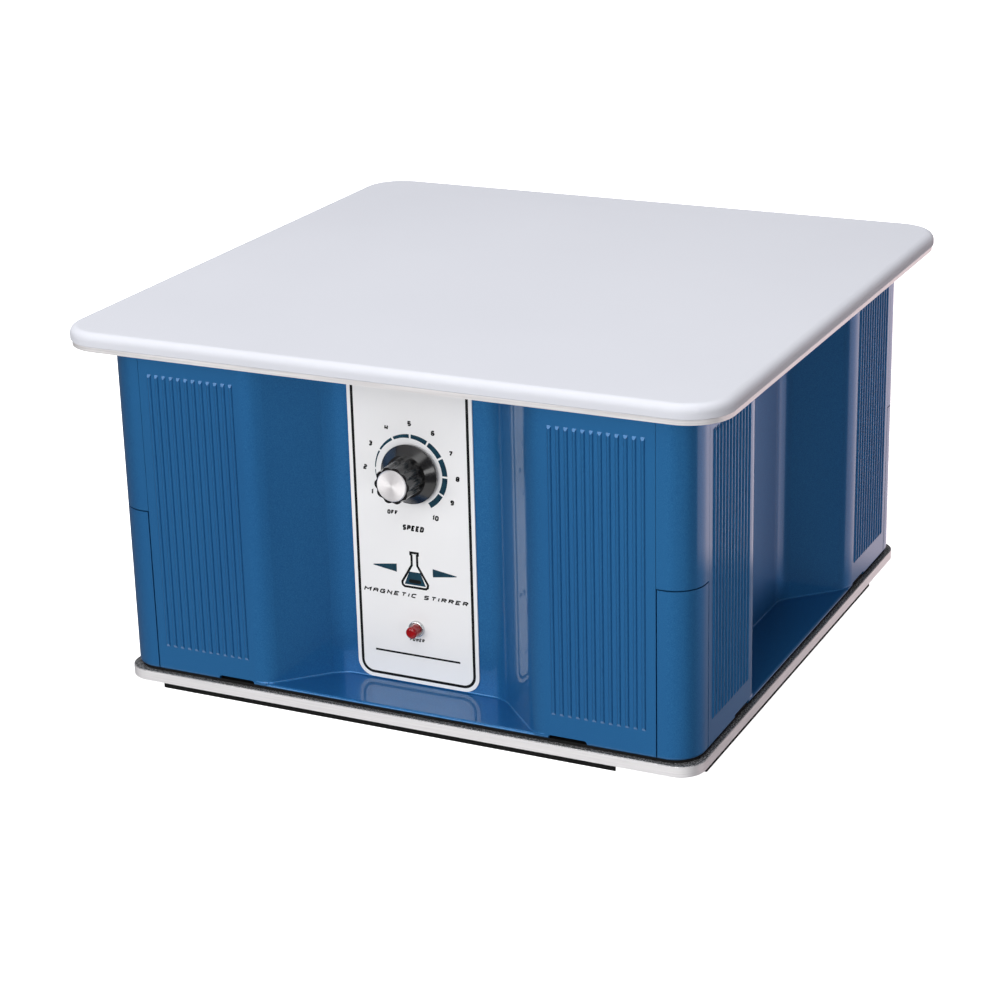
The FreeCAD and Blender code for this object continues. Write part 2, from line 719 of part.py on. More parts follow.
def end_bell(upper):
    """Square end casting with a boss for its bush; the lower one is closed underneath."""
    can_top_z = MOTOR_PLATE_Z - BELL_T
    z = can_top_z if upper else CAN_BOTTOM_Z - BELL_T
    plate = rounded_square(BELL_SIDE, BELL_R, z, BELL_T)
    if upper:
        boss = disc(BOSS_R, UPPER_BUSH_LENGTH, V(0, 0, z))
    else:
        boss = disc(BOSS_R, BELL_T + LOWER_BOSS_DROP, V(0, 0, z - LOWER_BOSS_DROP))
    bush_z, length = bush_place(upper)
    bore = disc(BUSH_R, length, V(0, 0, bush_z))
    ties = [disc(TIE_R, BELL_T, place + V(0, 0, z)) for place in at_corners(TIE_X)]
    return plate.fuse(boss).removeSplitter().cut([bore] + ties)


def bush(upper):
    """Sintered bronze bush that the motor shaft runs in."""
    z, length = bush_place(upper)
    return tube(BUSH_R, MOTOR_SHAFT_R + SHAFT_CLEARANCE, length, V(0, 0, z))


def motor_can():
    height = MOTOR_PLATE_Z - BELL_T - CAN_BOTTOM_Z
    return tube(CAN_R, CAN_R - CAN_WALL, height, V(0, 0, CAN_BOTTOM_Z))


def stator_z():
    """Height of the lower face of the stator's laminations."""
    return (CAN_BOTTOM_Z + MOTOR_PLATE_Z - BELL_T - STATOR_LENGTH) / 2


def stator_core():
    """Laminated ring with winding slots round its bore."""
    base = V(0, 0, stator_z())
    ring = tube(CAN_R - CAN_WALL, STATOR_BORE_R, STATOR_LENGTH, base)
    half = STATOR_SLOT_W / 2
    slot = box((STATOR_BORE_R - PAST, STATOR_BORE_R + STATOR_SLOT_D), (-half, half),
               (base.z, base.z + STATOR_LENGTH))
    pitch = 360.0 / STATOR_SLOT_COUNT
    return ring.cut([turned(slot, pitch * index) for index in range(STATOR_SLOT_COUNT)])


def stator_windings():
    """Bundled end turns above and below the laminations."""
    rings = []
    for z in (stator_z() - WINDING_LENGTH, stator_z() + STATOR_LENGTH):
        ring = tube(WINDING_OUT_R, WINDING_IN_R, WINDING_LENGTH, V(0, 0, z))
        rims = [edge for edge in ring.Edges if isinstance(edge.Curve, Part.Circle)]
        rings.append(ring.makeFillet(WINDING_EDGE_R, rims))
    return group(rings)


def tie_bolts():
    """Long bolts through both end castings and the motor plate, with a nut on top."""
    bolts = []
    head_z = CAN_BOTTOM_Z - BELL_T
    top_z = MOTOR_PLATE_Z + MOTOR_PLATE_T
    for place in at_corners(TIE_X):
        shank = disc(TIE_R, top_z + NUT_T - head_z, place + V(0, 0, head_z))
        head = hexagon(NUT_FLATS, NUT_T, place + V(0, 0, head_z - NUT_T))
        nut = hexagon(NUT_FLATS, NUT_T, place + V(0, 0, top_z))
        bolts.append(shank.fuse([head, nut]).removeSplitter())
    return group(bolts)


def motor_shaft():
    """Shaft with a shoulder that carries the rotor's weight above the lower bush."""
    top_z = HUB_Z + HUB_LENGTH - HUB_CLOSED_T
    shoulder_z = CAN_BOTTOM_Z + SHOULDER_GAP
    rod = disc(MOTOR_SHAFT_R, top_z - SHAFT_BOTTOM_Z, V(0, 0, SHAFT_BOTTOM_Z))
    shoulder = disc(SHAFT_SHOULDER_R, stator_z() - shoulder_z, V(0, 0, shoulder_z))
    return rod.fuse(shoulder).removeSplitter()


def rotor_core():
    """Laminated rotor with its bars showing at both ends."""
    z = stator_z()
    core = tube(STATOR_BORE_R - ROTOR_GAP, MOTOR_SHAFT_R, STATOR_LENGTH, V(0, 0, z))
    lower = disc(ROTOR_BAR_R, ROTOR_BAR_DIP, V(ROTOR_BAR_CIRCLE_R, 0, z))
    upper = disc(ROTOR_BAR_R, ROTOR_BAR_DIP, V(ROTOR_BAR_CIRCLE_R, 0, z + STATOR_LENGTH - ROTOR_BAR_DIP))
    pitch = 360.0 / ROTOR_BAR_COUNT
    dips = [turned(group([lower, upper]), pitch * index) for index in range(ROTOR_BAR_COUNT)]
    return core.cut(dips)


def magnet_screw_seats():
    top = HUB_Z + HUB_LENGTH + YOKE_T
    return [V(x, 0, top) for x in (-MAGNET_SCREW_X, MAGNET_SCREW_X)]


def magnet_hub():
    """Carrier pressed on the motor shaft, wider at its top."""
    stem = disc(HUB_STEM_R, HUB_LENGTH - HUB_FLANGE_T, V(0, 0, HUB_Z))
    flange = disc(HUB_R, HUB_FLANGE_T, V(0, 0, HUB_Z + HUB_LENGTH - HUB_FLANGE_T))
    bore = disc(MOTOR_SHAFT_R, HUB_LENGTH - HUB_CLOSED_T, V(0, 0, HUB_Z))
    hub = stem.fuse(flange).removeSplitter().cut(bore)
    return with_screw_holes(hub, magnet_screw_seats(), -Z_AXIS, MAGNET_SCREW)


def magnet_yoke():
    """Steel bar that joins the two magnets' flux."""
    z = HUB_Z + HUB_LENGTH
    half_length = YOKE_LENGTH / 2
    half_width = YOKE_WIDTH / 2
    points = [V(-half_length, -half_width, z), V(half_length, -half_width, z),
              V(half_length, half_width, z), V(-half_length, half_width, z)]
    bar = prism(points, [YOKE_CORNER_R] * 4, YOKE_T)
    return with_screw_holes(bar, magnet_screw_seats(), -Z_AXIS, MAGNET_SCREW)


def drive_magnets():
    """Two block magnets on top of the yoke, one pole up and one down."""
    z = HUB_Z + HUB_LENGTH + YOKE_T + MAGNET_T / 2
    blocks = []
    for x in (-MAGNET_X, MAGNET_X):
        block = centred_box(V(x, 0, z), (MAGNET_SIDE, MAGNET_SIDE, MAGNET_T))
        blocks.append(block.makeChamfer(MAGNET_CHAMFER, block.Edges))
    return group(blocks)


# Electrics -------------------------------------------------------------------------------

def board_posts():
    """Centres of the control board's four supports, at the base's upper face."""
    reach_x = BOARD_W / 2 - BOARD_POST_INSET
    reach_y = BOARD_L / 2 - BOARD_POST_INSET
    return [V(BOARD_X + x, y, BASE_TOP_Z) for x in (-reach_x, reach_x) for y in (-reach_y, reach_y)]


def on_board(x, y, size):
    """Block of the given size standing on the board, its middle at x, y of the board."""
    return centred_box(V(BOARD_X + x, y, BOARD_TOP_Z + size[2] / 2), size)


def can_on_board(x, y, size):
    return disc(size[0], size[1], V(BOARD_X + x, y, BOARD_TOP_Z))


def control_board():
    """Speed control board with its parts soldered on: relay, choke, chip, terminals, cans."""
    board = centred_box(V(BOARD_X, 0, BOARD_Z + BOARD_T / 2), (BOARD_W, BOARD_L, BOARD_T))
    relay = on_board(-4.0, 36.0, RELAY)
    chip = on_board(7.5, -3.0, CHIP)
    terminal = on_board(0.0, -44.0, TERMINAL)
    cans = [can_on_board(8.0, 20.0, CHOKE)]
    cans += [can_on_board(10.0, y, SMALL_CAPACITOR) for y in (-24.0, -36.0)]
    whole = board.fuse([relay, chip, terminal] + cans)
    return whole.cut([disc(BOARD_STUD_R, BOARD_T, V(post.x, post.y, BOARD_Z)) for post in board_posts()])


def board_standoffs():
    height = BOARD_Z - BASE_TOP_Z
    posts = []
    for post in board_posts():
        pillar = hexagon(BOARD_POST_FLATS, height, post)
        stud = disc(BOARD_STUD_R, BOARD_T + BOARD_STUD_PROUD, post + V(0, 0, height))
        posts.append(pillar.fuse(stud).removeSplitter())
    return group(posts)


def heat_sink():
    """Finned aluminium block on the control board."""
    thick, length, height = SINK_PLATE
    fin_length, fin_t, _ = SINK_FIN
    middle_z = BOARD_TOP_Z + height / 2
    plate = centred_box(V(SINK_X + thick / 2, -6.0, middle_z), SINK_PLATE)
    pitch = (length - fin_t) / (SINK_FIN_COUNT - 1)
    first_y = -6.0 - (length - fin_t) / 2
    fins = [centred_box(V(SINK_X + thick + fin_length / 2, first_y + pitch * index, middle_z), SINK_FIN)
            for index in range(SINK_FIN_COUNT)]
    return plate.fuse(fins).removeSplitter()


def run_capacitor():
    """Motor run capacitor, a rounded can with two tabs, in a ring clamp on the base."""
    base = V(CAPACITOR_X, 0, BASE_TOP_Z)
    can = disc(CAPACITOR_R, CAPACITOR_H, base)
    can = can.makeFillet(CAPACITOR_EDGE_R, edges_at(can, BASE_TOP_Z + CAPACITOR_H))
    band = disc(CAPACITOR_R + CLAMP_T, CLAMP_HEIGHT, base + V(0, 0, CLAMP_UP))
    tabs = [centred_box(base + V(0, y, CAPACITOR_H + TAB[2] / 2), TAB) for y in (-TAB_Y, TAB_Y)]
    return can.fuse([band] + tabs)


def blade_places():
    """Middle of each inlet blade: two lines below and the earth above, between them."""
    low = INLET_Z - BLADE_STAGGER
    return [V(-BLADE_X, 0, low), V(BLADE_X, 0, low), V(0, 0, INLET_Z + BLADE_STAGGER)]


def inlet_blades():
    """Three flat blades through the floor of the socket."""
    width, height, length = BLADE
    front_y = -RECESS_WALL_Y + INLET_FLANGE[2] - BLADE_SET_BACK
    blades = []
    for place in blade_places():
        centre = place + V(0, front_y - length / 2, 0)
        blades.append(centred_box(centre, (width, length, height)))
    return group(blades)


def inlet_screw_seats():
    y = -RECESS_WALL_Y + INLET_FLANGE[2]
    return [V(x, y, INLET_Z) for x in (-INLET_SCREW_X, INLET_SCREW_X)]


def power_inlet():
    """Mains inlet socket: a flange on the rear recess wall and a body through it."""
    wall_y = -RECESS_WALL_Y
    wide, high, thick = INLET_FLANGE
    flange = box((-wide / 2, wide / 2), (wall_y, wall_y + thick), (INLET_Z - high / 2, INLET_Z + high / 2))
    corners = [edge for edge in flange.Edges if edge.BoundBox.YLength > thick - 1e-3]
    flange = flange.makeFillet(INLET_CORNER_R, corners)
    body_w, body_h, body_d = INLET_BODY
    body = box((-body_w / 2, body_w / 2), (wall_y - body_d, wall_y),
               (INLET_Z - body_h / 2, INLET_Z + body_h / 2))
    cavity_w, cavity_h, cavity_d = INLET_CAVITY
    front = wall_y + thick
    cavity = box((-cavity_w / 2, cavity_w / 2), (front - cavity_d, front),
                 (INLET_Z - cavity_h / 2, INLET_Z + cavity_h / 2))
    upper = [edge for edge in cavity.Edges
             if edge.BoundBox.YLength > cavity_d - 1e-3 and edge.BoundBox.ZMin > INLET_Z]
    cavity = cavity.makeChamfer(INLET_CAVITY_CHAMFER, upper)
    socket = flange.fuse(body).removeSplitter().cut([cavity, inlet_blades()])
    return with_screw_holes(socket, inlet_screw_seats(), -Y_AXIS, INLET_SCREW)


def rear_panel():
    """Rear side panel with its cut-out and screw holes for the inlet."""
    wall_y = -RECESS_WALL_Y
    body_w, body_h, _ = INLET_BODY
    half_w = body_w / 2 + INLET_PLAY
    half_h = body_h / 2 + INLET_PLAY
    window = box((-half_w, half_w), (wall_y - WALL - PAST, wall_y + PAST),
                 (INLET_Z - half_h, INLET_Z + half_h))
    panel = turned(plain_side_panel(), 180).cut(window)
    return with_screw_holes(panel, inlet_screw_seats(), -Y_AXIS, INLET_SCREW)


def wire(points):
    """Round sleeve of wires along straight runs joined by arcs."""
    radii = [0] + [WIRE_BEND_R] * (len(points) - 2) + [0]
    path = rounded_path(points, radii, False)
    ring = Part.Wire([Part.makeCircle(WIRE_R, points[0], points[1] - points[0])])
    return path.makePipeShell([ring], True, False)


def wiring_loom():
    """Sleeved runs from the board to the inlet, motor, potentiometer and lamp."""
    side_x = BOARD_X + BOARD_W / 2 + 4.0
    inlet_y = -RECESS_WALL_Y + INLET_FLANGE[2] - BLADE_SET_BACK - BLADE[2] - 1.0
    pot_y = RECESS_WALL_Y + WALL + POT_DEPTH
    lamp_y = PANEL_FRONT_Y + LAMP_BARREL_LENGTH + 1.0
    runs = [
        [V(0, inlet_y, INLET_Z), V(0, inlet_y - 16, INLET_Z - 4), V(-40, 92, 20),
         V(side_x, 90, 18), V(side_x, 40, 30), V(side_x - 12, 16, 48)],
        [V(side_x, -8, 34), V(side_x + 6, -8, 48), V(-56, -8, 50), V(-46, -8, 57)],
        [V(side_x - 2, -44, 30), V(side_x - 3, -92, 36), V(-44, -104, 60), V(-10, pot_y + 14, 84),
         V(PANEL_X, pot_y + 6, 112)],
        [V(side_x - 4, -60, 24), V(side_x - 1, -90, 22), V(-34, -104, 30), V(PANEL_X, lamp_y + 12, 40),
         V(PANEL_X, lamp_y, LAMP_Z)],
    ]
    return group(wire(points) for points in runs)


def main():
    os.makedirs("parts", exist_ok=True)

    save("top_cover", top_cover())
    save("top_backing_plate", top_backing_plate())
    save("column_top_screws", screws(column_seats(COVER_Z), -Z_AXIS, FRAME_SCREW))

    side = plain_side_panel()
    save("side_panel_front", front_panel())
    save("side_panel_rear", rear_panel())
    save("side_panel_right", turned(side, 90))
    save("side_panel_left", turned(side, 270))
    cover = corner_cover()
    insert = corner_insert()
    for name, angle in CORNERS:
        save("corner_cover_" + name, turned(cover, angle))
        save("corner_insert_" + name, turned(insert, angle))

    save("damping_sheet", damping_sheet())
    save("base_plate", base_plate())
    for name, angle in SIDES:
        limits = FRONT_STRIP if name in ("front", "rear") else SIDE_STRIP
        save("foot_strip_" + name, turned(foot_strip(limits), angle))
    for name, angle in CORNERS:
        place = V(COLUMN_X, -COLUMN_X, 0)
        save("support_column_" + name, turned(support_column(place), angle))
    save("base_screws", screws(base_seats(), Z_AXIS, FRAME_SCREW))

    save("control_panel", control_panel())
    save("knob_body", knob_body())
    save("knob_cap", knob_cap())
    save("knob_set_screw", knob_set_screw())
    save("pot_shaft", pot_shaft())
    save("pot_body", pot_body())
    save("pot_nut", pot_nut())
    save("lamp_bezel", lamp_bezel())
    save("lamp_lens", lamp_lens())

    save("motor_plate", motor_plate())
    save("motor_standoffs", motor_standoffs())
    save("motor_plate_screws", screws(motor_plate_seats(), -Z_AXIS, FRAME_SCREW))
    save("motor_can", motor_can())
    save("stator_core", stator_core())
    save("stator_windings", stator_windings())
    save("end_bell_upper", end_bell(True))
    save("end_bell_lower", end_bell(False))
    save("bush_upper", bush(True))
    save("bush_lower", bush(False))
    save("motor_tie_bolts", tie_bolts())
    save("motor_shaft", motor_shaft())
    save("rotor_core", rotor_core())
    save("magnet_hub", magnet_hub())
    save("magnet_yoke", magnet_yoke())
    save("drive_magnets", drive_magnets())
    save("magnet_screws", screws(magnet_screw_seats(), -Z_AXIS, MAGNET_SCREW))

    save("control_board", control_board())
    save("board_standoffs", board_standoffs())
    save("heat_sink", heat_sink())
    save("run_capacitor", run_capacitor())
    save("power_inlet", power_inlet())
    save("inlet_blades", inlet_blades())
    save("inlet_screws", screws(inlet_screw_seats(), -Y_AXIS, INLET_SCREW))
    save("wiring_loom", wiring_loom())


main()
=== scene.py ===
import json
import math

import bmesh
import bpy
from mathutils import Matrix, Vector


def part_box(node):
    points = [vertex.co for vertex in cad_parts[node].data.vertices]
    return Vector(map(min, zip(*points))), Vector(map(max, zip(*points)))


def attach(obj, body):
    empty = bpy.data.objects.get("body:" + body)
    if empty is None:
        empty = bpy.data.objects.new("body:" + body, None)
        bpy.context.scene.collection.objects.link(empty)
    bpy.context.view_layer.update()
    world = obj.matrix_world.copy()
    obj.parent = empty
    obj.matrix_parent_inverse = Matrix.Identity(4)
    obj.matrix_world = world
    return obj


# Looks of the magnetic stirrer: a finish for every CAD node, the print on its control panel
# and the index line on its knob, with a plain floor, soft studio light and the camera.
# Metres in the row frame: +Z up, the control panel faces -Y.

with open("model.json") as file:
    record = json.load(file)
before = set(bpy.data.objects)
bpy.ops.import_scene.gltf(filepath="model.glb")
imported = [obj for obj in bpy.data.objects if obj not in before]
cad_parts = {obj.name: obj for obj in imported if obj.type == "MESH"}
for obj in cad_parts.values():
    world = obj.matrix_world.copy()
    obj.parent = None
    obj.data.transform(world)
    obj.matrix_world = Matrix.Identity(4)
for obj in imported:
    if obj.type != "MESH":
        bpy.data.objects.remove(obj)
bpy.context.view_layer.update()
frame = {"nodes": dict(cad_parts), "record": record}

MM = 0.001

# Print on the control panel, around the knob's axis and the lamp
PRINT_T = 0.03 * MM
STRIPE_INSET = 2.0 * MM
STRIPE_WIDTH = 1.55 * MM
STRIPE_CORNER_R = 6.5 * MM
DIAL_STEP = math.radians(30)
DIAL_OFF = math.radians(-150)
DIAL_LAST = 10
NUMBER_RING_R = 26.7 * MM
OFF_SHIFT = 1.7 * MM
ARC_R = 20.9 * MM
ARC_MAX_T = 3.0 * MM
ARC_MIN_T = 0.2 * MM
ARC_GAP = 1.1 * MM
SPEED_DROP = 30.6 * MM
EMBLEM_DROP = 54.0 * MM
TAGLINE_DROP = 68.5 * MM
POWER_DROP = 6.4 * MM
RULE_DROP = 102.5 * MM
RULE_HALF = 25.0 * MM
RULE_WIDTH = 1.1 * MM

# Angles on the dial, in degrees from straight up, over which the speed arc swells
SWELL_START = -130.0
SWELL_SPAN = 205.0

# Printed words: height, width or None for the letters' own, then slant and pen weight, both
# in steps of the letters' grid
NUMBER_STYLE = (2.8 * MM, None, 0.12, 2.5)
OFF_STYLE = (2.5 * MM, 6.4 * MM, 0.15, 2.6)
SPEED_STYLE = (3.3 * MM, 12.8 * MM, 0.25, 3.0)
TAGLINE_STYLE = (2.5 * MM, 62.0 * MM, 0.2, 2.3)
POWER_STYLE = (2.0 * MM, 8.8 * MM, 0.25, 2.4)

# Emblem: EMBLEM_SIZE is one step of its grid, and the rest is in such steps from its middle
EMBLEM_SIZE = 1.35 * MM
FLASK_HALF = ((1.6, 7.2), (1.6, 6.4), (1.2, 6.2), (1.2, 2.0), (5.6, -5.4), (5.4, -6.6), (4.6, -7.2))
FLASK_LINE = 0.95
LIQUID_TOP = (2.4, -0.8)
LIQUID_FLOOR = (4.6, -6.2)
BAR_LENGTH = 5.3
BAR_THICK = 1.5
BAR_LOW = 4.7
TAPER_NEAR = (7.8, 1.7)
TAPER_FAR = (18.0, 0.2)

# Straight steps in rounded outlines, and the limits of a stroke: points this close are one,
# and a mitre grows no longer than at this cosine
ARC_STEPS = 12
CORNER_STEPS = 12
BAR_END_STEPS = 10
SAME_POINT = 1e-7
MITRE_COSINE = 0.4

# Block letters: each word is a point, its place across and then up a grid, and / lifts the pen
GLYPH_TALL = 6
GLYPH_GAP = 1.1
GLYPHS = {
    "0": "10 30 41 45 36 16 05 01 10",
    "1": "15 26 20",
    "2": "06 36 45 44 33 13 02 00 40",
    "3": "06 36 45 44 33 42 41 30 00/33 13",
    "4": "06 02 52/46 40",
    "5": "46 06 03 33 42 41 30 00",
    "6": "46 16 05 01 10 30 41 42 33 03",
    "7": "06 46 45 20",
    "8": "13 33 42 41 30 10 01 02 13 04 05 16 36 45 44 33",
    "9": "00 30 41 45 36 16 05 04 13 43",
    "A": "00 05 16 36 45 40/03 43",
    "C": "46 16 05 01 10 40",
    "D": "00 06 36 45 41 30 00",
    "E": "46 06 00 40/03 33",
    "F": "46 06 00/03 33",
    "G": "46 16 05 01 10 40 43 23",
    "I": "20 26",
    "M": "00 06 33 66 60",
    "N": "00 06 40 46",
    "O": "10 30 41 45 36 16 05 01 10",
    "P": "00 06 36 45 44 33 03",
    "R": "00 06 36 45 44 33 03/23 40",
    "S": "46 16 05 04 13 33 42 41 30 00",
    "T": "06 46/26 20",
    "W": "06 10 35 50 66",
}

# Index line on the knob's skirt: each end's radius, and how far forward the skirt is there
INDEX_WIDTH = 1.0 * MM
INDEX_T = 0.06 * MM
INDEX_OUTER = (15.3 * MM, 0.95 * MM)
INDEX_INNER = (11.6 * MM, 4.35 * MM)

# Finishes: the drift of a colour against its grain, the dark of a hairline against its tint,
# and the dark and the light of rubber against its level
DRIFT_SHARE = 0.12
HAIRLINE_SHARE = 0.80
RUBBER_SHARES = (0.8, 1.3)

# The Mix node repeats its sockets' names for each data type, so its colour sockets go by place
MIX_FIRST = 6
MIX_SECOND = 7
MIX_RESULT = 2

# Surroundings that the gloss mirrors: radiance of the dim room, of a pale backdrop behind on
# the right and of a pale table low at the front left. A patch shows by the direction looked
# in: around its side (cosine to that side) and over a range of heights. In each pair of
# values the patch is absent at the first and full at the second.
WORLD_DIM = (0.135, 0.13, 0.145, 1)
WORLD_BACKDROP = (1.50, 1.24, 1.27, 1)
WORLD_TABLE = (1.3, 1.28, 1.28, 1)
BACKDROP_SIDE = (0.44, 0.90, 0.0)
BACKDROP_FADE = (0.52, 0.66)
BACKDROP_FOOT = (-0.375, -0.362)
BACKDROP_TOP = (0.10, -0.05)
TABLE_SIDE = (-0.50, -0.87, 0.0)
TABLE_FADE = (-0.25, 0.35)
TABLE_TOP = (-0.46, -0.56)

# Softboxes: name, place, the point faced, width and height, power in watts
SOFTBOXES = (
    ("key", (-0.70, -2.95, 0.95), (0, 0, 0.12), (3.4, 1.9), 73.0),
    ("fill", (2.0, -1.65, 0.25), (0, 0, 0.12), (1.2, 0.5), 7.0),
    ("overhead", (-0.1, -0.2, 2.1), (0, 0, 0.1), (1.4, 1.4), 36.5),
    ("front_top", (0.45, -1.6, 1.75), (0, 0, 0.12), (1.5, 0.9), 9.0),
)

FLOOR_HALF = 9.0
FLOOR_CELLS = 8
FLOOR_GLOW = 0.95

CAMERA_PLACE = (0.5751, -1.2232, 0.5693)
CAMERA_AIM = (0.0023, -0.0409, 0.0856)
CAMERA_ROLL = math.radians(-1.43)
CAMERA_LENS = 91.53
CAMERA_SENSOR = 36.0
CAMERA_FAR = 60.0


def linear(red, green, blue):
    """Scene colour of a screen colour given from 0 to 255."""
    shares = [value / 255 for value in (red, green, blue)]
    channels = [s / 12.92 if s <= 0.04045 else ((s + 0.055) / 1.055) ** 2.4 for s in shares]
    return (*channels, 1.0)


def grey(level):
    return (level, level, level, 1.0)


# Materials -------------------------------------------------------------------------------

class Nodes:
    """A node tree, with short ways to add nodes and to feed their inputs."""

    def __init__(self, tree):
        self.tree = tree

    def add(self, kind, **values):
        """New node; each keyword is an input's name with _ for spaces."""
        node = self.tree.nodes.new(kind)
        for name, value in values.items():
            self.feed(node.inputs[name.replace("_", " ")], value)
        return node

    def feed(self, socket, value):
        """Links an output to the input, or sets the input to a plain value."""
        if isinstance(value, bpy.types.NodeSocket):
            self.tree.links.new(value, socket)
        else:
            socket.default_value = value

    def mix(self, factor, first, second):
        """Blend of two colours."""
        node = self.add("ShaderNodeMix")
        node.data_type = "RGBA"
        self.feed(node.inputs["Factor"], factor)
        self.feed(node.inputs[MIX_FIRST], first)
        self.feed(node.inputs[MIX_SECOND], second)
        return node.outputs[MIX_RESULT]

    def math(self, operation, first, second):
        """Sum, product or other result of two values."""
        node = self.add("ShaderNodeMath")
        node.operation = operation
        self.feed(node.inputs[0], first)
        self.feed(node.inputs[1], second)
        return node.outputs[0]


class Graph(Nodes):
    """Node tree of one new material, built around its Principled shader."""

    def __init__(self, name):
        self.material = bpy.data.materials.new(name)
        self.material.use_nodes = True
        super().__init__(self.material.node_tree)
        self.shader = self.tree.nodes["Principled BSDF"]
        self.place = self.add("ShaderNodeTexCoord").outputs["Object"]

    def shade(self, **values):
        """Sets or links inputs of the shader itself."""
        for name, value in values.items():
            self.feed(self.shader.inputs[name.replace("_", " ")], value)
        return self

    def moved(self, shift, stretch=(1, 1, 1)):
        """Surface place with its origin at shift, stretched along each axis."""
        away = self.add("ShaderNodeVectorMath")
        away.operation = "SUBTRACT"
        self.feed(away.inputs[0], self.place)
        self.feed(away.inputs[1], shift)
        return self.add("ShaderNodeMapping", Vector=away.outputs[0], Scale=stretch).outputs[0]

    def noise(self, scale, detail=3.0, stretch=(1, 1, 1)):
        """Cloudy value from 0 to 1; scale is in features per metre."""
        place = self.moved((0, 0, 0), stretch)
        return self.add("ShaderNodeTexNoise", Vector=place, Scale=scale, Detail=detail).outputs[0]

    def cells(self, scale, stretch=(1, 1, 1)):
        """Distance to the nearest of many scattered points."""
        place = self.moved((0, 0, 0), stretch)
        return self.add("ShaderNodeTexVoronoi", Vector=place, Scale=scale).outputs["Distance"]

    def bands(self, axis, per_metre, rings=False, centre=(0, 0, 0)):
        """Even waves along an axis, or rings around it."""
        wave = self.add("ShaderNodeTexWave", Vector=self.moved(centre), Scale=per_metre / math.pi)
        if rings:
            wave.wave_type = "RINGS"
            wave.rings_direction = axis
        else:
            wave.bands_direction = axis
        return wave.outputs["Fac"]

    def remap(self, value, low, high, start=0.0, end=1.0):
        """Takes start..end of a value to low..high."""
        return self.add("ShaderNodeMapRange", Value=value, From_Min=start, From_Max=end,
                        To_Min=low, To_Max=high).outputs[0]

    def tones(self, value, *stops):
        """Colour for a value, between (place, colour) stops."""
        ramp = self.add("ShaderNodeValToRGB", Fac=value)
        elements = ramp.color_ramp.elements
        while len(elements) < len(stops):
            elements.new(0.5)
        for element, (place, colour) in zip(elements, stops):
            element.position = place
            element.color = colour
        return ramp.outputs["Color"]

    def bump(self, height, depth, strength=1.0):
        """Raises the surface by up to depth metres."""
        node = self.add("ShaderNodeBump", Height=height, Distance=depth, Strength=strength)
        return self.shade(Normal=node.outputs[0])

    def upward(self):
        """1 where the surface faces straight up, 0 on its sides."""
        normal = self.add("ShaderNodeNewGeometry").outputs["Normal"]
        split = self.add("ShaderNodeSeparateXYZ", Vector=normal)
        return self.remap(split.outputs["Z"], 0.0, 1.0, start=0.6, end=0.8)


def drifting(name, dark, light, roughness, grain, depth, stretch=(1, 1, 1)):
    """Finish whose colour and roughness drift over a noise, with a fine grain in relief."""
    graph = Graph(name)
    drift = graph.noise(grain * DRIFT_SHARE, 2.0, stretch)
    fine = graph.noise(grain, 4.0, stretch)
    graph.shade(Base_Color=graph.tones(drift, (0.3, dark), (0.7, light)))
    graph.shade(Roughness=graph.remap(fine, *roughness))
    return graph.bump(fine, depth)


def pearl_blue():
    """Moulded blue housing: deep gloss over a pearl pigment, with a faint moulding ripple."""
    graph = Graph("housing_blue")
    flow = graph.noise(9.0, 2.0, (1, 1, 0.35))
    pearl = graph.noise(2600.0, 2.0)
    deep = graph.tones(flow, (0.3, linear(25, 89, 144)), (0.7, linear(31, 99, 154)))
    bright = graph.tones(flow, (0.3, linear(40, 111, 166)), (0.7, linear(46, 119, 172)))
    graph.shade(Base_Color=graph.mix(graph.remap(pearl, 0.0, 1.0, 0.35, 0.75), deep, bright))
    graph.shade(Roughness=graph.remap(pearl, 0.34, 0.46), Metallic=0.5)
    graph.shade(Coat_Weight=0.6, Coat_Roughness=0.03, Coat_IOR=1.5, Specular_IOR_Level=0.2)
    return graph.bump(graph.noise(32.0, 1.0), 0.05 * MM)


def white_cover():
    """Coated white work surface: satin, with a very fine stipple and faint clouding."""
    graph = Graph("cover_white")
    cloud = graph.noise(5.0, 3.0)
    stipple = graph.noise(900.0, 3.0)
    graph.shade(Base_Color=graph.tones(cloud, (0.3, (0.590, 0.603, 0.648, 1)),
                                       (0.7, (0.612, 0.625, 0.670, 1))))
    graph.shade(Roughness=graph.remap(stipple, 0.52, 0.64), Specular_IOR_Level=0.25)
    return graph.bump(stipple, 0.012 * MM)


def ground_metal(name, tint, roughness, stretch):
    """Bright sheet metal with hairlines."""
    graph = Graph(name)
    lines = graph.noise(900.0, 4.0, stretch)
    smudge = graph.noise(18.0, 3.0)
    dark = tuple(HAIRLINE_SHARE * channel for channel in tint[:3]) + (1.0,)
    graph.shade(Base_Color=graph.mix(graph.remap(lines, 0.0, 1.0, 0.3, 0.7), dark, tint))
    rough = graph.math("ADD", graph.remap(lines, *roughness), graph.remap(smudge, -0.04, 0.06))
    graph.shade(Roughness=rough, Metallic=0.35)
    return graph.bump(lines, 0.01 * MM)


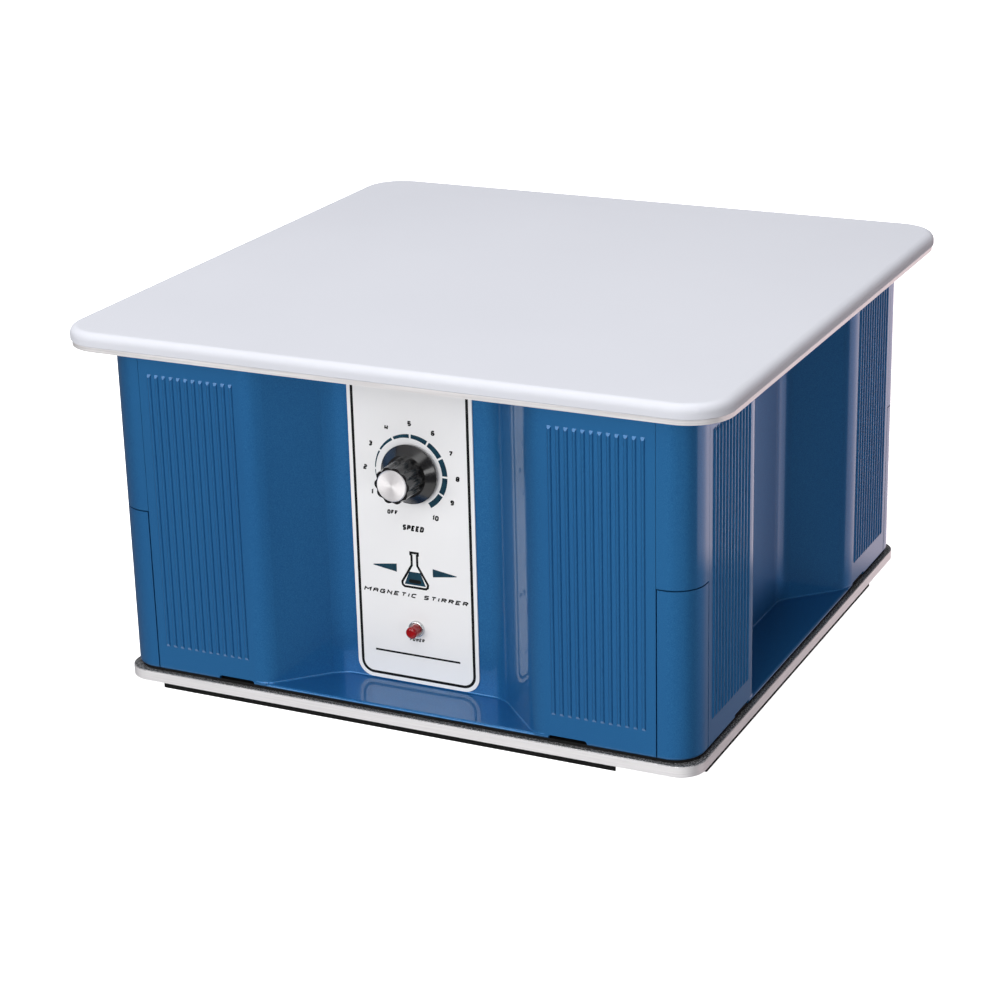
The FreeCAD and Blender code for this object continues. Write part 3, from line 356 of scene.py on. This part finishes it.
def base_metal():
    """Base plate: hairlined bright edges and a dark upper face speckled with bare metal."""
    graph = Graph("base_aluminium")
    lines = graph.noise(1500.0, 4.0, (0.02, 0.02, 1))
    speck = graph.noise(1350.0, 5.0)
    edge = graph.mix(graph.remap(lines, 0.0, 1.0, 0.3, 0.7),
                     (0.86, 0.85, 0.85, 1), (0.97, 0.96, 0.96, 1))
    crust = graph.tones(speck, (0.40, grey(0.02)), (0.50, grey(0.12)), (0.63, grey(0.66)))
    up = graph.upward()
    graph.shade(Base_Color=graph.mix(up, edge, crust))
    rough = graph.math("ADD", graph.remap(up, 0.30, 0.42), graph.remap(speck, 0.0, 0.12))
    graph.shade(Roughness=rough, Metallic=0.5)
    height = graph.math("MULTIPLY", speck, up)
    return graph.bump(graph.math("ADD", height, graph.remap(lines, 0.0, 0.15)), 0.10 * MM)


def panel_white():
    """Satin printed ground of the control panel, with a light film texture."""
    graph = Graph("panel_white")
    cloud = graph.noise(14.0, 3.0)
    film = graph.noise(2200.0, 3.0)
    graph.shade(Base_Color=graph.tones(cloud, (0.3, grey(0.79)), (0.7, grey(0.83))))
    graph.shade(Roughness=graph.remap(film, 0.30, 0.42), Specular_IOR_Level=0.4)
    return graph.bump(film, 0.006 * MM)


def knob_black():
    """Moulded black knob, glossy with fine moulding grain."""
    graph = drifting("knob_black", grey(0.006), grey(0.013), (0.14, 0.24), 1800.0, 0.012 * MM)
    return graph.shade(Specular_IOR_Level=0.55, Coat_Weight=0.35, Coat_Roughness=0.08)


def spun_cap():
    """Spun aluminium: rings around the knob's axis, which spread the light into cones."""
    low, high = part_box("knob_cap")
    graph = Graph("cap_aluminium")
    rings = graph.bands("Y", 2600.0, rings=True, centre=tuple((low + high) / 2))
    fine = graph.noise(2400.0, 3.0)
    graph.shade(Base_Color=graph.tones(rings, (0.0, (0.80, 0.78, 0.78, 1)),
                                       (1.0, (0.92, 0.90, 0.90, 1))))
    graph.shade(Roughness=graph.remap(fine, 0.42, 0.52), Metallic=0.7, Anisotropic=0.6)
    around = graph.add("ShaderNodeTangent")
    around.direction_type = "RADIAL"
    around.axis = "Y"
    graph.shade(Tangent=around.outputs[0])
    return graph.bump(rings, 0.002 * MM, 0.5)


def red_lens():
    """Clear red moulding that catches the light at its rim."""
    graph = Graph("lens_red")
    cloud = graph.noise(500.0, 2.0)
    red = graph.tones(cloud, (0.3, linear(150, 10, 18)), (0.7, linear(178, 16, 24)))
    graph.shade(Base_Color=red)
    graph.shade(Roughness=graph.remap(cloud, 0.08, 0.16), IOR=1.49, Transmission_Weight=0.25)
    return graph.bump(cloud, 0.004 * MM)


def rubber(name, level):
    """Dull black rubber, around one level of grey."""
    dark, light = [grey(level * share) for share in RUBBER_SHARES]
    graph = drifting(name, dark, light, (0.55, 0.75), 1400.0, 0.02 * MM)
    return graph.shade(Specular_IOR_Level=0.12)


def stacked_sheets():
    """Laminations seen edge on: a dark line between each pair of sheets."""
    graph = Graph("lamination")
    sheets = graph.bands("Z", 2000.0)
    rust = graph.noise(160.0, 4.0)
    steel = graph.tones(rust, (0.35, grey(0.16)), (0.7, (0.20, 0.18, 0.165, 1)))
    graph.shade(Base_Color=graph.mix(graph.remap(sheets, 0.0, 1.0, 0.15, 0.4), grey(0.03), steel))
    graph.shade(Metallic=0.8, Roughness=graph.remap(rust, 0.38, 0.55))
    return graph.bump(sheets, 0.06 * MM)


def wound_copper():
    """Enamelled wire laid round and round, with painted shade darkening the grooves between turns."""
    graph = Graph("copper")
    turn_relief_and_groove_shade = graph.bands("Z", 1400.0, rings=True)
    wander = graph.noise(220.0, 3.0)
    copper = graph.tones(wander, (0.3, (0.42, 0.13, 0.045, 1)), (0.7, (0.62, 0.24, 0.09, 1)))
    # Painted shade: the dark copper in the grooves between turns stands in for their shade.
    graph.shade(Base_Color=graph.mix(turn_relief_and_groove_shade, (0.12, 0.035, 0.015, 1), copper))
    graph.shade(Metallic=0.75, Roughness=graph.remap(wander, 0.22, 0.36), Coat_Weight=0.6)
    return graph.bump(turn_relief_and_groove_shade, 0.25 * MM)


def metal(name, dark, light, roughness, grain, depth):
    """Bare or plated metal."""
    return drifting(name, dark, light, roughness, grain, depth).shade(Metallic=1.0)


def circuit_board():
    """Green mask with paler tracks under it."""
    graph = Graph("board_green")
    tracks = graph.cells(260.0, (1, 0.35, 1))
    green = graph.tones(tracks, (0.25, (0.008, 0.085, 0.030, 1)),
                        (0.32, (0.020, 0.150, 0.055, 1)))
    graph.shade(Base_Color=green, Roughness=graph.remap(graph.noise(600.0), 0.25, 0.40))
    return graph.bump(tracks, 0.03 * MM)


def braided_sleeve():
    """Woven sleeve over the wires."""
    graph = Graph("wire_sleeve")
    weave = graph.math("MULTIPLY", graph.bands("DIAGONAL", 1500.0), graph.bands("Z", 1200.0))
    graph.shade(Base_Color=graph.tones(weave, (0.1, grey(0.008)), (0.8, grey(0.05))))
    graph.shade(Roughness=graph.remap(weave, 0.7, 0.5), Sheen_Weight=0.2)
    return graph.bump(weave, 0.15 * MM)


def finishes():
    """One material for each of the record's slots."""
    graphs = {
        "cover_white": white_cover(),
        "backing_metal": ground_metal("backing_metal", (0.92, 0.90, 0.895, 1), (0.24, 0.40),
                                      (0.02, 0.02, 1)),
        "housing_blue": pearl_blue(),
        "strip_rubber": rubber("strip_rubber", 0.004),
        "column_aluminium": ground_metal("column_aluminium", grey(0.66), (0.22, 0.36),
                                         (0.05, 0.05, 1)),
        "damping_black": rubber("damping_black", 0.008),
        "base_aluminium": base_metal(),
        "panel_white": panel_white(),
        "knob_black": knob_black(),
        "cap_aluminium": spun_cap(),
        "bezel_chrome": metal("bezel_chrome", grey(0.60), grey(0.72), (0.20, 0.30), 900.0, 0.002 * MM),
        "lens_red": red_lens(),
        "steel": metal("steel", grey(0.42), (0.60, 0.60, 0.57, 1), (0.22, 0.40), 700.0, 0.01 * MM),
        "pot_metal": metal("pot_metal", grey(0.50), grey(0.64), (0.25, 0.42), 500.0, 0.01 * MM),
        "motor_grey": drifting("motor_grey", grey(0.10), grey(0.13), (0.35, 0.50), 900.0, 0.03 * MM),
        "lamination": stacked_sheets(),
        "copper": wound_copper(),
        "cast_aluminium": metal("cast_aluminium", grey(0.40), grey(0.56), (0.40, 0.62), 900.0,
                                0.08 * MM),
        "bronze": metal("bronze", (0.42, 0.25, 0.10, 1), (0.62, 0.42, 0.20, 1), (0.28, 0.45),
                        1100.0, 0.03 * MM),
        "magnet_nickel": metal("magnet_nickel", grey(0.54), grey(0.66), (0.12, 0.24), 400.0,
                               0.004 * MM),
        "board_green": circuit_board(),
        "nickel_brass": metal("nickel_brass", (0.50, 0.46, 0.34, 1), (0.62, 0.58, 0.45, 1),
                              (0.2, 0.34), 800.0, 0.005 * MM),
        "capacitor_can": metal("capacitor_can", grey(0.46), grey(0.58), (0.26, 0.44), 350.0,
                               0.01 * MM),
        "inlet_black": drifting("inlet_black", grey(0.012), grey(0.024), (0.40, 0.58), 1600.0,
                                0.03 * MM),
        "wire_sleeve": braided_sleeve(),
    }
    return {slot: graph.material for slot, graph in graphs.items()}


def dress_nodes(materials):
    """Gives every CAD node the finish of its slot in the record."""
    slots = {part["node"]: part["material_slot"] for part in frame["record"]["subparts"]}
    for name, node in frame["nodes"].items():
        node.data.materials.clear()
        node.data.materials.append(materials[slots[name]])


def ink(name, dark, light):
    """Screen-printed ink with an uneven edge to its coverage."""
    graph = drifting(name, dark, light, (0.45, 0.60), 3000.0, 0.004 * MM)
    return graph.shade(Specular_IOR_Level=0.15).material


# Print on the control panel --------------------------------------------------------------

def add_piece(name, shapes, place, material, body):
    """Makes the collected shapes one piece at place, faces outwards, riding on a body."""
    bmesh.ops.recalc_face_normals(shapes, faces=shapes.faces[:])
    shapes.transform(Matrix.Translation(place))
    mesh = bpy.data.meshes.new(name)
    shapes.to_mesh(mesh)
    shapes.free()
    mesh.materials.append(material)
    piece = bpy.data.objects.new(name, mesh)
    bpy.context.scene.collection.objects.link(piece)
    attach(piece, body)


def flat_shape(shapes, outline, thickness):
    """Adds one thin solid to the bmesh: outline points (x, z) from the panel's axis."""
    back = [shapes.verts.new((x, 0.0, z)) for x, z in outline]
    front = [shapes.verts.new((x, -thickness, z)) for x, z in outline]
    shapes.faces.new(back)
    shapes.faces.new(reversed(front))
    for index in range(len(outline)):
        following = (index + 1) % len(outline)
        shapes.faces.new((back[index], front[index], front[following], back[following]))


def arc_points(centre, radius, start, end, steps):
    """Points on a circle; angles run clockwise from straight up."""
    angles = [start + (end - start) * index / steps for index in range(steps + 1)]
    return [(centre[0] + radius * math.sin(a), centre[1] + radius * math.cos(a)) for a in angles]


def stroke(shapes, line, width):
    """Thin band of one width along a line of points (x, z), mitred at its corners."""
    points = [Vector(point) for point in line]
    closed = (points[0] - points[-1]).length < SAME_POINT
    if closed:
        points.pop()
    count = len(points)
    rows = []
    for index, point in enumerate(points):
        before = points[index - 1] if closed or index > 0 else point
        after = points[(index + 1) % count] if closed or index < count - 1 else point
        steps = [step.normalized() for step in (point - before, after - point) if step.length > 0]
        along = sum(steps, Vector((0, 0))).normalized()
        reach = width / 2 / max(along.dot(steps[0]), MITRE_COSINE)
        side = Vector((-along.y, along.x)) * reach
        left, right = point + side, point - side
        corners = [(left, 0.0), (left, -PRINT_T), (right, -PRINT_T), (right, 0.0)]
        rows.append([shapes.verts.new((place.x, y, place.y)) for place, y in corners])
    for index in range(count if closed else count - 1):
        near, far = rows[index], rows[(index + 1) % count]
        for turn in range(4):
            following = (turn + 1) % 4
            shapes.faces.new((near[turn], near[following], far[following], far[turn]))
    if not closed:
        shapes.faces.new(rows[0])
        shapes.faces.new(reversed(rows[-1]))


def glyph_strokes(letter):
    """Strokes of a letter as lists of points (x, z) on its grid."""
    lines = [line.split() for line in GLYPHS[letter].split("/")]
    return [[(int(across), int(up)) for across, up in line] for line in lines]


def lettering(shapes, text, place, height, width, slant, weight):
    """Adds block letters centred at place (x, z), in one of the styles named above."""
    lines, pen = [], 0.0
    for letter in text:
        if letter == " ":
            pen += GLYPH_GAP + 2 * weight
            continue
        strokes = glyph_strokes(letter)
        left = min(x for line in strokes for x, z in line)
        right = max(x for line in strokes for x, z in line)
        lines += [[(pen + x - left + slant * z, z) for x, z in line] for line in strokes]
        pen += right - left + weight + GLYPH_GAP
    xs = [x for line in lines for x, z in line]
    middle = (min(xs) + max(xs)) / 2
    tall = height / (GLYPH_TALL + weight)
    wide = width / (max(xs) - min(xs) + weight) if width else tall
    for line in lines:
        put = [((x - middle) * wide, (z - GLYPH_TALL / 2) * tall) for x, z in line]
        stroke(shapes, [(place[0] + x, place[1] + z) for x, z in put], weight * min(tall, wide))


def dial_place(angle, radius):
    """Point (x, z) on the dial; the angle runs clockwise from straight up."""
    return (radius * math.sin(angle), radius * math.cos(angle))


def dial_numbers(shapes):
    """The numbers round the knob, and OFF where they would start."""
    for number in range(1, DIAL_LAST + 1):
        place = dial_place(DIAL_OFF + DIAL_STEP * number, NUMBER_RING_R)
        lettering(shapes, str(number), place, *NUMBER_STYLE)
    across, up = dial_place(DIAL_OFF, NUMBER_RING_R)
    lettering(shapes, "OFF", (across + OFF_SHIFT, up), *OFF_STYLE)


def swelling(angle):
    """Thickness of the speed arc at an angle: a hair at its start, full from about 7 on."""
    share = min(max((math.degrees(angle) - SWELL_START) / SWELL_SPAN, 0.0), 1.0)
    return ARC_MIN_T + (ARC_MAX_T - ARC_MIN_T) * share * share * (3 - 2 * share)


def speed_arc(shapes):
    """Arc that swells from 1 to 10, cut by a small gap at each number."""
    for number in range(1, DIAL_LAST):
        start = DIAL_OFF + DIAL_STEP * number + ARC_GAP / ARC_R / 2
        end = start + DIAL_STEP - ARC_GAP / ARC_R
        outer, inner = [], []
        for index in range(ARC_STEPS + 1):
            angle = start + (end - start) * index / ARC_STEPS
            outer.append(dial_place(angle, ARC_R))
            inner.append(dial_place(angle, ARC_R - swelling(angle)))
        flat_shape(shapes, outer + inner[::-1], PRINT_T)


def pinstripe(shapes, half_width, top, bottom):
    """Line round the panel that runs out under the work surface."""
    x = half_width - STRIPE_INSET - STRIPE_WIDTH / 2
    low = bottom + STRIPE_INSET + STRIPE_WIDTH / 2
    radius = STRIPE_CORNER_R
    side, down, other = math.radians(90), math.radians(180), math.radians(270)
    right = arc_points((x - radius, low + radius), radius, side, down, CORNER_STEPS)
    left = arc_points((radius - x, low + radius), radius, down, other, CORNER_STEPS)
    stroke(shapes, [(x, top)] + right + left + [(-x, top)], STRIPE_WIDTH)


def capsule(width, height, z):
    """Outline of a stirring bar."""
    radius = height / 2
    reach = width / 2 - radius
    right = arc_points((reach, z), radius, 0.0, math.pi, BAR_END_STEPS)
    left = arc_points((-reach, z), radius, math.pi, 2 * math.pi, BAR_END_STEPS)
    return right + left


def emblem(dark, teal, z):
    """Plain sign for a stirrer: a flask of teal liquid and its bar, between tapering rules."""
    def put(outline):
        return [(across * EMBLEM_SIZE, z + up * EMBLEM_SIZE) for across, up in outline]

    mirrored = [(-across, up) for across, up in reversed(FLASK_HALF)]
    flask = put([*FLASK_HALF, *mirrored])
    stroke(dark, flask + flask[:1], FLASK_LINE * EMBLEM_SIZE)
    (top, level), (wide, floor) = LIQUID_TOP, LIQUID_FLOOR
    flat_shape(teal, put([(top, level), (-top, level), (-wide, floor), (wide, floor)]), PRINT_T)
    bar = capsule(BAR_LENGTH * EMBLEM_SIZE, BAR_THICK * EMBLEM_SIZE, z - BAR_LOW * EMBLEM_SIZE)
    flat_shape(dark, bar, 2 * PRINT_T)
    (near, thick), (far, thin) = TAPER_NEAR, TAPER_FAR
    for side in (-1, 1):
        rule = [(near, thick), (far, thin), (far, -thin), (near, -thick)]
        flat_shape(teal, put([(side * across, up) for across, up in rule[::side]]), PRINT_T)


def panel_print():
    """Everything printed on the control panel, in black and in teal."""
    low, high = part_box("control_panel")
    knob_low, knob_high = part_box("knob_cap")
    lamp_low, lamp_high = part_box("lamp_bezel")
    knob_z = (knob_low.z + knob_high.z) / 2
    axis = Vector(((low.x + high.x) / 2, low.y, knob_z))
    lamp_drop = knob_z - (lamp_low.z + lamp_high.z) / 2
    black, teal = bmesh.new(), bmesh.new()
    pinstripe(black, (high.x - low.x) / 2, high.z - knob_z, low.z - knob_z)
    dial_numbers(black)
    lettering(black, "SPEED", (0.0, -SPEED_DROP), *SPEED_STYLE)
    lettering(black, "MAGNETIC STIRRER", (0.0, -TAGLINE_DROP), *TAGLINE_STYLE)
    lettering(black, "POWER", (0.0, -lamp_drop - POWER_DROP), *POWER_STYLE)
    stroke(black, [(-RULE_HALF, -RULE_DROP), (RULE_HALF, -RULE_DROP)], RULE_WIDTH)
    speed_arc(teal)
    emblem(black, teal, -EMBLEM_DROP)
    black_ink = ink("ink_black", grey(0.002), grey(0.005))
    teal_ink = ink("ink_teal", linear(12, 46, 62), linear(20, 60, 76))
    add_piece("panel_print_black", black, axis, black_ink, "root")
    add_piece("panel_print_teal", teal, axis, teal_ink, "root")


def index_line():
    """White line up the knob's skirt that points at the dial, at OFF at rest."""
    low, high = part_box("knob_body")
    axis = Vector(((low.x + high.x) / 2, high.y, (low.z + high.z) / 2))
    line = bmesh.new()
    corners = []
    for lift in (0.0, INDEX_T):
        for radius, forward in (INDEX_OUTER, INDEX_INNER):
            for across in (-INDEX_WIDTH / 2, INDEX_WIDTH / 2):
                corners.append(line.verts.new((across, -forward - lift, radius)))
    for loop in ((0, 1, 3, 2), (4, 6, 7, 5), (0, 2, 6, 4), (1, 5, 7, 3), (0, 4, 5, 1), (2, 3, 7, 6)):
        line.faces.new([corners[index] for index in loop])
    line.transform(Matrix.Rotation(DIAL_OFF, 4, "Y"))
    white = ink("index_white", grey(0.70), grey(0.80))
    add_piece("knob_index", line, axis, white, "knob")


# Floor, light and camera -----------------------------------------------------------------

def pale_floor():
    """Large plain floor; its glow keeps it pale without lighting the object from below."""
    sheet = bmesh.new()
    bmesh.ops.create_grid(sheet, x_segments=FLOOR_CELLS, y_segments=FLOOR_CELLS, size=FLOOR_HALF)
    mesh = bpy.data.meshes.new("floor")
    sheet.to_mesh(mesh)
    sheet.free()
    floor = bpy.data.objects.new("floor", mesh)
    bpy.context.scene.collection.objects.link(floor)
    graph = drifting("floor_pale", grey(0.84), grey(0.86), (0.85, 0.95), 40.0, 0.01 * MM)
    graph.shade(Emission_Color=grey(1.0), Emission_Strength=FLOOR_GLOW, Specular_IOR_Level=0.1)
    mesh.materials.append(graph.material)
    floor.visible_glossy = False
    floor.visible_diffuse = False


def softbox(name, place, aim, size, power):
    """Even rectangular light at a place, turned to face a point."""
    light = bpy.data.lights.new(name, "AREA")
    light.shape = "RECTANGLE"
    light.size, light.size_y = size
    light.energy = power
    lamp = bpy.data.objects.new(name, light)
    bpy.context.scene.collection.objects.link(lamp)
    lamp.location = place
    lamp.rotation_euler = (Vector(aim) - Vector(place)).to_track_quat("-Z", "Y").to_euler()


def studio_world():
    """Dim room, with a pale backdrop behind on the right and a pale table at the front left."""
    world = bpy.data.worlds.new("studio")
    bpy.context.scene.world = world
    world.use_nodes = True
    nodes = Nodes(world.node_tree)
    direction = nodes.add("ShaderNodeTexCoord").outputs["Generated"]

    def share(value, start, end):
        """0 at start to 1 at end, eased."""
        node = nodes.add("ShaderNodeMapRange", Value=value, From_Min=start, From_Max=end)
        node.interpolation_type = "SMOOTHSTEP"
        return node.outputs[0]

    def towards(side):
        """Cosine between the direction looked in and a side of the room."""
        node = nodes.add("ShaderNodeVectorMath")
        node.operation = "DOT_PRODUCT"
        nodes.feed(node.inputs[0], direction)
        nodes.feed(node.inputs[1], side)
        return node.outputs["Value"]

    def both(first, second):
        return nodes.math("MULTIPLY", first, second)

    height = towards((0, 0, 1))
    upright = both(share(height, *BACKDROP_FOOT), share(height, *BACKDROP_TOP))
    backdrop = both(share(towards(BACKDROP_SIDE), *BACKDROP_FADE), upright)
    table = both(share(towards(TABLE_SIDE), *TABLE_FADE), share(height, *TABLE_TOP))
    colour = nodes.mix(table, nodes.mix(backdrop, WORLD_DIM, WORLD_BACKDROP), WORLD_TABLE)
    nodes.feed(world.node_tree.nodes["Background"].inputs["Color"], colour)


def studio_light():
    """The surroundings and every softbox."""
    studio_world()
    for box in SOFTBOXES:
        softbox(*box)


def camera():
    """The camera that the photo was taken with, as solved from the object's edges."""
    data = bpy.data.cameras.new("camera")
    data.sensor_width = CAMERA_SENSOR
    data.lens = CAMERA_LENS
    data.clip_end = CAMERA_FAR
    holder = bpy.data.objects.new("camera", data)
    bpy.context.scene.collection.objects.link(holder)
    look = (Vector(CAMERA_AIM) - Vector(CAMERA_PLACE)).to_track_quat("-Z", "Y")
    holder.matrix_world = (Matrix.Translation(CAMERA_PLACE) @ look.to_matrix().to_4x4()
                           @ Matrix.Rotation(CAMERA_ROLL, 4, "Z"))
    bpy.context.scene.camera = holder


dress_nodes(finishes())
panel_print()
index_line()
pale_floor()
studio_light()
camera()
bpy.context.scene.view_settings.view_transform = "Standard"
